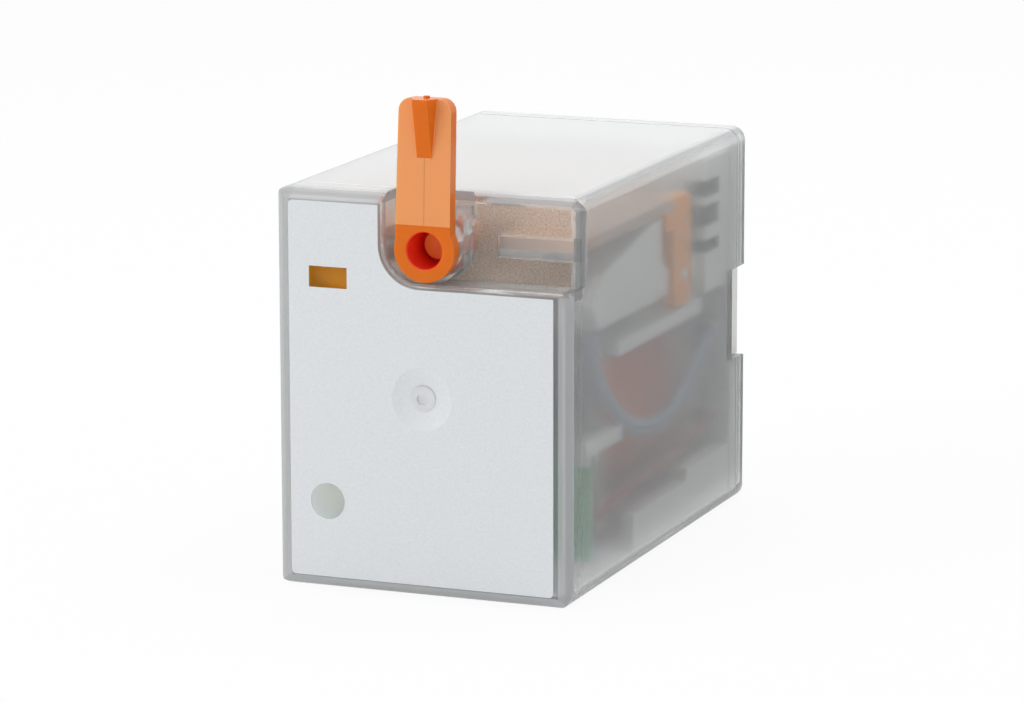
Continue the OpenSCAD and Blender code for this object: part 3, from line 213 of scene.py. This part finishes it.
# A zone is 1 where any of its tests holds, or where all of them hold if they are multiplied.
zones = {}
for zone, joined, tests in (
        ("grained", "MAXIMUM", ((beside, "GREATER_THAN", side_x - side_skin),
                                (z, "GREATER_THAN", top_z - top_skin),
                                (z, "COMPARE", underside))),
        ("top", "MAXIMUM", ((z, "GREATER_THAN", top_z - top_skin),)),
        ("floor", "MAXIMUM", ((y, "COMPARE", recess_floor),)),
        ("front", "MAXIMUM", ((y, "COMPARE", front_y),)),
        ("left", "MULTIPLY", ((x, "LESS_THAN", strip_right), (y, "COMPARE", front_y))),
        ("gate", "MAXIMUM", ((from_gate, "LESS_THAN", gate_reach),)),
        ("light", "MULTIPLY", ((from_light, "LESS_THAN", light_reach),
                               (y, "LESS_THAN", front_skin))),
        ("flag", "MULTIPLY", ((x, "GREATER_THAN", flag_left), (x, "LESS_THAN", flag_right),
                              (z, "GREATER_THAN", flag_low), (z, "LESS_THAN", flag_high),
                              (y, "LESS_THAN", front_skin))),
        ("inner", "MULTIPLY", ((across, "LESS_THAN", side_x - wall), (z, "GREATER_THAN", wall),
                               (z, "LESS_THAN", top_z - wall),
                               (y, "GREATER_THAN", front_y + wall))),
        ("recess", "MULTIPLY", ((x, "GREATER_THAN", recess_left),
                                (z, "GREATER_THAN", recess_low),
                                (y, "LESS_THAN", recess_back)))):
    mask = None
    for source, operation, level in tests:
        test = add(tree, "ShaderNodeMath", {1: level, 2: on_face}, {0: source},
                   operation=operation)
        if mask:
            test = add(tree, "ShaderNodeMath", links={0: mask.outputs[0], 1: test.outputs[0]},
                       operation=joined)
        mask = test
    zones[zone] = mask.outputs[0]

# Each property starts from the plain edges' value, and a later zone covers an earlier one:
# roughness, share of clear plastic, painted grey shade of the milky share, light that passes into
# the relay, brightness of the reflections, and height of the grain.
properties = {}
for name, plain, steps in (
        ("rough", 0.35, (("inner", 0.14), ("recess", 0.1), ("front", 0.4), ("grained", 0.26),
                         ("floor", 0.3), ("flag", 0.05), ("light", 0.5))),
        # In the clear share, the top's 0.45 leaves more milky white than on the grained sides: a
        # painted highlight for the lamp above glancing off the top.
        ("clear", 0.34, (("inner", 0.99), ("recess", 0.8), ("front", 0.62), ("left", 0.45),
                         ("grained", 0.94), ("top", 0.45), ("gate", 0.25), ("flag", 1.0),
                         ("light", 0.68))),
        ("grey", 0.5, (("inner", 0.0), ("recess", 0.0), ("front", 0.8), ("left", 0.3),
                       ("grained", 0.0), ("gate", 0.0), ("flag", 0.0), ("light", 0.0))),
        ("passing", 0.92, (("flag", 1.0), ("light", 1.0))),
        ("shine", 1.0, (("flag", 0.3),)),
        ("grain", 0.0, (("grained", 0.1), ("floor", 0.8)))):
    value = None
    for zone, level in steps:
        step = add(tree, "ShaderNodeMix", {2: plain, 3: level}, {0: zones[zone]},
                   data_type="FLOAT")
        if value:
            tree.links.new(value.outputs[0], step.inputs[2])
        value = step
    properties[name] = value.outputs[0]

grit = add(tree, "ShaderNodeTexNoise", {"Scale": per_metre(grit_mm), "Detail": 2.0,
                                        "Roughness": 0.6}, {"Vector": point})
grit_bump = add(tree, "ShaderNodeBump", {"Distance": grit_deep},
                {"Height": grit.outputs[0], "Strength": properties["grain"]})
# Painted shade: the milky white is mixed towards grey by the grey property, on the front flat and
# the edges.
milky = add(tree, "ShaderNodeMix", {6: linear("#F4F6F7"), 7: linear("#8E9294")},
            {0: properties["grey"]}, data_type="RGBA")
fleck = add(tree, "ShaderNodeMapRange", {"From Min": 0.35, "From Max": 0.65},
            {"Value": grit.outputs[0]})
flecked = add(tree, "ShaderNodeMix", {6: linear("#F4EAE0"), 7: linear("#D6B496")},
              {0: fleck.outputs[0]}, data_type="RGBA")
tint = add(tree, "ShaderNodeMix", links={0: zones["floor"], 6: milky.outputs[2],
                                         7: flecked.outputs[2]}, data_type="RGBA")
pc = add(tree, "ShaderNodeBsdfPrincipled", {"IOR": 1.585},
         {"Base Color": tint.outputs[2], "Roughness": properties["rough"],
          "Normal": grit_bump.outputs[0], "Transmission Weight": properties["clear"],
          "Specular Tint": properties["shine"]})
# A clear shell casts hardly any shadow, so the lamps' light reaches the pieces inside.
path = add(tree, "ShaderNodeLightPath")
clear = add(tree, "ShaderNodeBsdfTransparent", links={"Color": properties["passing"]})
pc_mix = add(tree, "ShaderNodeMixShader", links={0: path.outputs["Is Shadow Ray"],
                                                 1: pc.outputs[0], 2: clear.outputs[0]})
add(tree, "ShaderNodeOutputMaterial", links={"Surface": pc_mix.outputs[0]})
coat("cover", cover_pc)

# Front film
# White polyester film with a matt print lacquer, stuck to the cover's front and pressed into
# the gate's dish. Its windows for the flag and the light are punched out.
film_passes = 0.6
# The lacquer's speckle is about 0.05 mm. It is drawn coarser, so that it shows.
speck_mm = 0.192

# Lacquered polyester: an even, cool white that barely shines, with a faint speckle. The thin
# film passes part of the light to the pieces behind it.
film, tree = start_material("matt_polyester_film")
point = add(tree, "ShaderNodeTexCoord").outputs["Object"]
speck = add(tree, "ShaderNodeTexNoise", {"Scale": per_metre(speck_mm), "Detail": 3.0,
                                         "Roughness": 0.7}, {"Vector": point})
tone = add(tree, "ShaderNodeMix", {6: linear("#D6DBDF"), 7: linear("#EDF0F2")},
           {0: speck.outputs[0]}, data_type="RGBA")
speck_bump = add(tree, "ShaderNodeBump", {"Strength": 0.15, "Distance": 0.00002},
                 {"Height": speck.outputs[0]})
pet = add(tree, "ShaderNodeBsdfPrincipled", {"IOR": 1.57, "Roughness": 0.55},
          {"Base Color": tone.outputs[2], "Normal": speck_bump.outputs[0]})
path = add(tree, "ShaderNodeLightPath")
thin = add(tree, "ShaderNodeMath", {1: film_passes}, {0: path.outputs["Is Shadow Ray"]},
           operation="MULTIPLY")
clear = add(tree, "ShaderNodeBsdfTransparent")
pet_mix = add(tree, "ShaderNodeMixShader", links={0: thin.outputs[0], 1: pet.outputs[0],
                                                  2: clear.outputs[0]})
add(tree, "ShaderNodeOutputMaterial", links={"Surface": pet_mix.outputs[0]})
coat("front_label", film)

# Test lever
# Orange polycarbonate lever from a two-part mould, with a thumb ridge at its tip. It snaps into
# the recess floor, and its slanted hub end holds the contact carrier back while it stands up.
# The bar leans forward from its bend above the hub. Its front is told from the rest by how
# near a point is to it, and the mould's parting line runs up its middle.
bend = Vector((0.0003, front_y, 0.02545))
bar_lean = math.tan(math.radians(2.5))
bar_face = 0.00004
parting_half = 0.00004
bore, bore_reach = Vector((0.0003, 0.0, 0.02375)), 0.0013
# Flow marks of the moulding, which are 0.5 to 1 mm wide
ripple_mm = 0.71

# Polycarbonate with orange dye: glossy and slightly see-through, so that its edges glow. Its bore
# is painted a deeper red, a painted shade for the dim light in the bore. The bar's front is
# textured and dull, and painted paler, a painted sheen of the light it catches.
orange_pc, tree = start_material("orange_polycarbonate")
point = add(tree, "ShaderNodeTexCoord").outputs["Object"]
x, y, z = add(tree, "ShaderNodeSeparateXYZ", links={0: point}).outputs
rise = add(tree, "ShaderNodeMath", {1: bend.z}, {0: z}, operation="SUBTRACT")
lean_line = add(tree, "ShaderNodeMath", {1: bar_lean, 2: bend.y}, {0: rise.outputs[0]},
                operation="MULTIPLY_ADD")
near_face = add(tree, "ShaderNodeMath", {2: bar_face}, {0: y, 1: lean_line.outputs[0]},
                operation="COMPARE")
on_bar = add(tree, "ShaderNodeMath", {1: 0.0}, {0: rise.outputs[0]}, operation="GREATER_THAN")
sheen_and_matt_face = add(tree, "ShaderNodeMath", links={0: near_face.outputs[0], 1: on_bar.outputs[0]},
                operation="MULTIPLY").outputs[0]
on_axis = add(tree, "ShaderNodeCombineXYZ", {"Y": 0.0}, {"X": x, "Z": z})
from_bore = add(tree, "ShaderNodeVectorMath", {1: bore}, {0: on_axis.outputs[0]},
                operation="DISTANCE")
bore_red_shade = add(tree, "ShaderNodeMath", {1: bore_reach}, {0: from_bore.outputs["Value"]},
              operation="LESS_THAN").outputs[0]
near_line = add(tree, "ShaderNodeMath", {1: bend.x, 2: parting_half}, {0: x},
                operation="COMPARE")
parting = add(tree, "ShaderNodeMath", links={0: near_line.outputs[0], 1: sheen_and_matt_face},
              operation="MULTIPLY").outputs[0]
ripple = add(tree, "ShaderNodeTexNoise", {"Scale": per_metre(ripple_mm), "Detail": 2.0},
             {"Vector": point})
tone = add(tree, "ShaderNodeMix", {6: linear("#DE6E18"), 7: linear("#E67820")},
           {0: ripple.outputs[0]}, data_type="RGBA")
# The bar's front is painted paler (painted sheen), the parting line on it darker, and the bore
# deep red (painted shade).
for patch, colour in ((sheen_and_matt_face, "#F0A264"), (parting, "#DE9054"), (bore_red_shade, "#FF4028")):
    tone = add(tree, "ShaderNodeMix", {7: linear(colour)}, {0: patch, 6: tone.outputs[2]},
               data_type="RGBA")
rough = add(tree, "ShaderNodeMix", {2: 0.25, 3: 0.6}, {0: sheen_and_matt_face}, data_type="FLOAT")
ripple_bump = add(tree, "ShaderNodeBump", {"Strength": 0.06, "Distance": 0.00005},
                  {"Height": ripple.outputs[0]})
orange = add(tree, "ShaderNodeBsdfPrincipled",
             {"IOR": 1.585, "Specular IOR Level": 0.2, "Subsurface Weight": 0.35,
              "Subsurface Radius": (0.0012, 0.0004, 0.0001), "Subsurface Scale": 1.0},
             {"Base Color": tone.outputs[2], "Roughness": rough.outputs[0],
              "Normal": ripple_bump.outputs[0]})
add(tree, "ShaderNodeOutputMaterial", links={"Surface": orange.outputs[0]})
coat("test_lever", orange_pc)

# Plunger
# Red-orange polyamide pin, moulded, that slides in the lever's bore. Its rear end is at the
# contact carrier's tongue, which takes it forward when the lever lies in its recess.
# Marks of the dye and the mould, about half a millimetre wide
mottle_mm = 0.4

# Dyed polyamide: a waxy, half dull surface with a faint mottle.
red_pa, tree = start_material("red_orange_polyamide")
point = add(tree, "ShaderNodeTexCoord").outputs["Object"]
mottle = add(tree, "ShaderNodeTexNoise", {"Scale": per_metre(mottle_mm), "Detail": 2.0},
             {"Vector": point})
tone = add(tree, "ShaderNodeMix", {6: linear("#FF9A3A"), 7: linear("#FFAA48")},
           {0: mottle.outputs[0]}, data_type="RGBA")
red = add(tree, "ShaderNodeBsdfPrincipled", {"IOR": 1.53, "Roughness": 0.4},
          {"Base Color": tone.outputs[2]})
add(tree, "ShaderNodeOutputMaterial", links={"Surface": red.outputs[0]})
coat("test_plunger", red_pa)

# Flag bridge
# Amber polyamide bridge that turns on the base's pins, moved by the contact carrier, and shows
# its flag in the film's window. Its thin plate lets the white mouldings below show through.
plate_low = 0.02345
plate_front, plate_middle, finger_front = -0.0136, -0.0078, 0.0044
# Clouds of dye in the moulding, which are 0.5 to 1 mm wide
cloud_mm = 0.67

# Dyed polyamide, hardly glossy: full amber where it is thick, brown and paling towards the
# middle where the plate is thin.
amber_pa, tree = start_material("amber_polyamide")
point = add(tree, "ShaderNodeTexCoord").outputs["Object"]
x, y, z = add(tree, "ShaderNodeSeparateXYZ", links={0: point}).outputs
high = add(tree, "ShaderNodeMath", {1: plate_low}, {0: z}, operation="GREATER_THAN")
before = add(tree, "ShaderNodeMath", {1: finger_front}, {0: y}, operation="LESS_THAN")
thin = add(tree, "ShaderNodeMath", links={0: high.outputs[0], 1: before.outputs[0]},
           operation="MULTIPLY")
cloud = add(tree, "ShaderNodeTexNoise", {"Scale": per_metre(cloud_mm), "Detail": 3.0},
            {"Vector": point})
thick_tone = add(tree, "ShaderNodeMix", {6: linear("#FF9A00"), 7: linear("#FFA50C")},
                 {0: cloud.outputs[0]}, data_type="RGBA")
paling = add(tree, "ShaderNodeMapRange", {"From Min": plate_front, "From Max": plate_middle},
             {"Value": y})
thin_tone = add(tree, "ShaderNodeMix", {6: linear("#C6946F"), 7: linear("#BFA698")},
                {0: paling.outputs[0]}, data_type="RGBA")
tone = add(tree, "ShaderNodeMix", links={0: thin.outputs[0], 6: thick_tone.outputs[2],
                                         7: thin_tone.outputs[2]}, data_type="RGBA")
amber = add(tree, "ShaderNodeBsdfPrincipled",
            {"IOR": 1.53, "Roughness": 0.38, "Specular IOR Level": 0.12,
             "Subsurface Weight": 0.1, "Subsurface Radius": (0.001, 0.0004, 0.0001),
             "Subsurface Scale": 1.0},
            {"Base Color": tone.outputs[2]})
add(tree, "ShaderNodeOutputMaterial", links={"Surface": amber.outputs[0]})
coat("flag_indicator", amber_pa)

# White mouldings
# Base, bobbin and contact carrier are moulded in glass-filled polyester. The base holds the
# blades, the bobbin carries the winding, and the carrier sits on the armature.
# Lowest and highest corner of the pockets on both sides of the base
pocket_low = (0.0078, 0.01082, 0.0192)
pocket_high = (0.00938, 0.01375, 0.02455)
# The glass fibres are about 0.01 mm thick. They are drawn as a coarser cloud, so that it shows.
fibre_mm = 0.45

# Glass-filled polyester: a chalky, satin white, with the fibres as a faint cloud. The base's
# pockets beside the contact arms are painted near black, a painted shade for the dark of the deep
# pockets.
white_pbt, tree = start_material("white_glass_filled_polyester")
point = add(tree, "ShaderNodeTexCoord").outputs["Object"]
x, y, z = add(tree, "ShaderNodeSeparateXYZ", links={0: point}).outputs
across = add(tree, "ShaderNodeMath", links={0: x}, operation="ABSOLUTE")
pocket_shade = None
for source, low, high in zip((across.outputs[0], y, z), pocket_low, pocket_high):
    test = add(tree, "ShaderNodeMath", {1: (low + high) / 2, 2: (high - low) / 2}, {0: source},
               operation="COMPARE")
    if pocket_shade:
        test = add(tree, "ShaderNodeMath", links={0: pocket_shade.outputs[0], 1: test.outputs[0]},
                   operation="MULTIPLY")
    pocket_shade = test
fibre = add(tree, "ShaderNodeTexNoise", {"Scale": per_metre(fibre_mm), "Detail": 4.0},
            {"Vector": point})
tone = add(tree, "ShaderNodeMix", {6: linear("#E2E3E0"), 7: linear("#F1F1EE")},
           {0: fibre.outputs[0]}, data_type="RGBA")
# Painted shade: the pockets beside the contact arms are coloured near black.
tone = add(tree, "ShaderNodeMix", {7: linear("#141312")},
           {0: pocket_shade.outputs[0], 6: tone.outputs[2]}, data_type="RGBA")
fibre_bump = add(tree, "ShaderNodeBump", {"Strength": 0.1, "Distance": 0.00003},
                 {"Height": fibre.outputs[0]})
pbt = add(tree, "ShaderNodeBsdfPrincipled", {"IOR": 1.54, "Roughness": 0.45},
          {"Base Color": tone.outputs[2], "Normal": fibre_bump.outputs[0]})
add(tree, "ShaderNodeOutputMaterial", links={"Surface": pbt.outputs[0]})
for name in ("base", "coil_bobbin", "contact_carrier"):
    coat(name, white_pbt)

# Winding
# Enamelled copper wire on the bobbin, wrapped in a red-brown polyester tape. The tape goes
# round with a step, so its turns show as bands.
# One turn of the tape covers the one before it up to this step.
tape_step_mm = 1.96
# Blender's wave pattern repeats every tenth of pi at a scale of 1.
wave_length = math.pi / 10

# Polyester tape: smooth and half glossy, darker where two turns lie over each other.
tape, tree = start_material("red_brown_polyester_tape")
point = add(tree, "ShaderNodeTexCoord").outputs["Object"]
turn = add(tree, "ShaderNodeTexWave", {"Scale": wave_length * per_metre(tape_step_mm),
                                       "Distortion": 0.6, "Detail": 1.0},
           {"Vector": point}, bands_direction="Y")
tone = add(tree, "ShaderNodeMix", {6: linear("#C8562A"), 7: linear("#F0803E")},
           {0: turn.outputs["Fac"]}, data_type="RGBA")
pet_tape = add(tree, "ShaderNodeBsdfPrincipled", {"IOR": 1.57, "Roughness": 0.35},
               {"Base Color": tone.outputs[2]})
add(tree, "ShaderNodeOutputMaterial", links={"Surface": pet_tape.outputs[0]})
coat("coil_winding", tape)

# Iron circuit
# Core, yoke, armature and return spring are stamped from soft iron and spring sheet and plated.
# The core is riveted into the yoke, and the armature rests on the yoke's front edge.
# Stains of the plating bath, 1 to 2 mm across
blot_mm = 1.25

# Grey nickel: a soft metal shine in blots where the bath has left it duller.
nickel, tree = start_material("nickel_plated_iron")
point = add(tree, "ShaderNodeTexCoord").outputs["Object"]
blot = add(tree, "ShaderNodeTexNoise", {"Scale": per_metre(blot_mm), "Detail": 4.0},
           {"Vector": point})
rough = add(tree, "ShaderNodeMapRange", {"To Min": 0.28, "To Max": 0.45},
            {"Value": blot.outputs[0]})
iron = add(tree, "ShaderNodeBsdfPrincipled", {"Base Color": linear("#B9BABD"), "Metallic": 1.0},
           {"Roughness": rough.outputs[0]})
add(tree, "ShaderNodeOutputMaterial", links={"Surface": iron.outputs[0]})
for name in ("core", "yoke", "armature", "return_spring"):
    coat(name, nickel)

# Contacts and blades
# Blades stamped from brass strip and tin-plated, silver alloy rivets, bronze contact springs,
# and braided pigtails soldered between the springs and the common blades.
poles = (1, 2, 3, 4)
# Smears that rolling leaves in the strip, a little under 1 mm wide
smear_mm = 0.83
# The strands of the braid are about 0.05 mm thick. They are drawn coarser, so that they show.
strand_mm = 0.25

# Tin and silver: bright, pale metal whose shine is smeared by the rolls. Phosphor bronze: the
# same in a warm tone.
for material_name, colour, smooth, dull, coated in (
        ("tin_plated_brass", "#CFCDC8", 0.22, 0.38,
         [f"{row}_terminal_{i}" for row in ("nc", "no", "common") for i in poles]
         + ["coil_terminal_1", "coil_terminal_2", "nc_contacts", "no_contacts",
            "moving_contacts"]),
        ("phosphor_bronze_strip", "#C79A6B", 0.2, 0.35,
         [f"contact_spring_{i}" for i in poles])):
    metal, tree = start_material(material_name)
    point = add(tree, "ShaderNodeTexCoord").outputs["Object"]
    smear = add(tree, "ShaderNodeTexNoise", {"Scale": per_metre(smear_mm), "Detail": 3.0},
                {"Vector": point})
    rough = add(tree, "ShaderNodeMapRange", {"To Min": smooth, "To Max": dull},
                {"Value": smear.outputs[0]})
    strip = add(tree, "ShaderNodeBsdfPrincipled", {"Base Color": linear(colour),
                                                   "Metallic": 1.0},
                {"Roughness": rough.outputs[0]})
    add(tree, "ShaderNodeOutputMaterial", links={"Surface": strip.outputs[0]})
    for name in coated:
        coat(name, metal)

# Tinned copper braid: a blue-grey, knobbly rope, half as shiny as bare metal.
braid, tree = start_material("tinned_copper_braid")
point = add(tree, "ShaderNodeTexCoord").outputs["Object"]
strand = add(tree, "ShaderNodeTexVoronoi", {"Scale": per_metre(strand_mm)}, {"Vector": point})
tone = add(tree, "ShaderNodeMix", {6: linear("#7A8A9C"), 7: linear("#B2C0D0")},
           {0: strand.outputs["Distance"]}, data_type="RGBA")
strand_bump = add(tree, "ShaderNodeBump", {"Strength": 0.4, "Distance": 0.00005},
                  {"Height": strand.outputs["Distance"]})
wire = add(tree, "ShaderNodeBsdfPrincipled", {"Metallic": 0.4, "Roughness": 0.5},
           {"Base Color": tone.outputs[2], "Normal": strand_bump.outputs[0]})
add(tree, "ShaderNodeOutputMaterial", links={"Surface": wire.outputs[0]})
for i in poles:
    coat(f"pigtail_{i}", braid)

# Indicator board
# Green circuit board held by the bobbin's arms, with a clear light behind the film's round
# window, a small resistor and two red leads from the coil's terminals.
# Threads of the board's glass cloth, haze in the lens, rings on the resistor and marks on the
# sleeves, all at their real widths
weave_mm = 0.4
haze_mm = 0.83
ring_mm = 1.05
sleeve_mottle_mm = 0.5

# Glass cloth in green epoxy: smooth, with the weave of the cloth as faint squares.
epoxy, tree = start_material("green_glass_epoxy")
point = add(tree, "ShaderNodeTexCoord").outputs["Object"]
weave = add(tree, "ShaderNodeTexChecker", {"Scale": per_metre(weave_mm),
                                           "Color1": linear("#52B478"),
                                           "Color2": linear("#5EC286")}, {"Vector": point})
board = add(tree, "ShaderNodeBsdfPrincipled", {"IOR": 1.55, "Roughness": 0.35},
            {"Base Color": weave.outputs["Color"]})
add(tree, "ShaderNodeOutputMaterial", links={"Surface": board.outputs[0]})
coat("circuit_board", epoxy)

# Cast epoxy: a glossy, pale green drop with a slight haze.
lens, tree = start_material("pale_green_epoxy_lens")
point = add(tree, "ShaderNodeTexCoord").outputs["Object"]
haze = add(tree, "ShaderNodeTexNoise", {"Scale": per_metre(haze_mm)}, {"Vector": point})
tone = add(tree, "ShaderNodeMix", {6: linear("#D2EAA8"), 7: linear("#E4F8BC")},
           {0: haze.outputs[0]}, data_type="RGBA")
drop = add(tree, "ShaderNodeBsdfPrincipled", {"IOR": 1.55, "Roughness": 0.15},
           {"Base Color": tone.outputs[2]})
add(tree, "ShaderNodeOutputMaterial", links={"Surface": drop.outputs[0]})
coat("led", lens)

# Dipped lacquer on a ceramic rod: beige, half glossy, in soft rings where it has run.
ceramic, tree = start_material("beige_lacquered_resistor")
point = add(tree, "ShaderNodeTexCoord").outputs["Object"]
ring = add(tree, "ShaderNodeTexWave", {"Scale": wave_length * per_metre(ring_mm)},
           {"Vector": point}, bands_direction="X")
tone = add(tree, "ShaderNodeMix", {6: linear("#C9AE84"), 7: linear("#D8C09A")},
           {0: ring.outputs["Fac"]}, data_type="RGBA")
body = add(tree, "ShaderNodeBsdfPrincipled", {"IOR": 1.5, "Roughness": 0.4},
           {"Base Color": tone.outputs[2]})
add(tree, "ShaderNodeOutputMaterial", links={"Surface": body.outputs[0]})
coat("resistor", ceramic)

# Insulating sleeve: dark red, waxy and a little uneven in tone.
sleeve, tree = start_material("red_polyester_sleeve")
point = add(tree, "ShaderNodeTexCoord").outputs["Object"]
mottle = add(tree, "ShaderNodeTexNoise", {"Scale": per_metre(sleeve_mottle_mm)},
             {"Vector": point})
tone = add(tree, "ShaderNodeMix", {6: linear("#8F3A2C"), 7: linear("#A84A38")},
           {0: mottle.outputs[0]}, data_type="RGBA")
lead = add(tree, "ShaderNodeBsdfPrincipled", {"IOR": 1.5, "Roughness": 0.45},
           {"Base Color": tone.outputs[2]})
add(tree, "ShaderNodeOutputMaterial", links={"Surface": lead.outputs[0]})
for name in ("coil_lead_1", "coil_lead_2"):
    coat(name, sleeve)
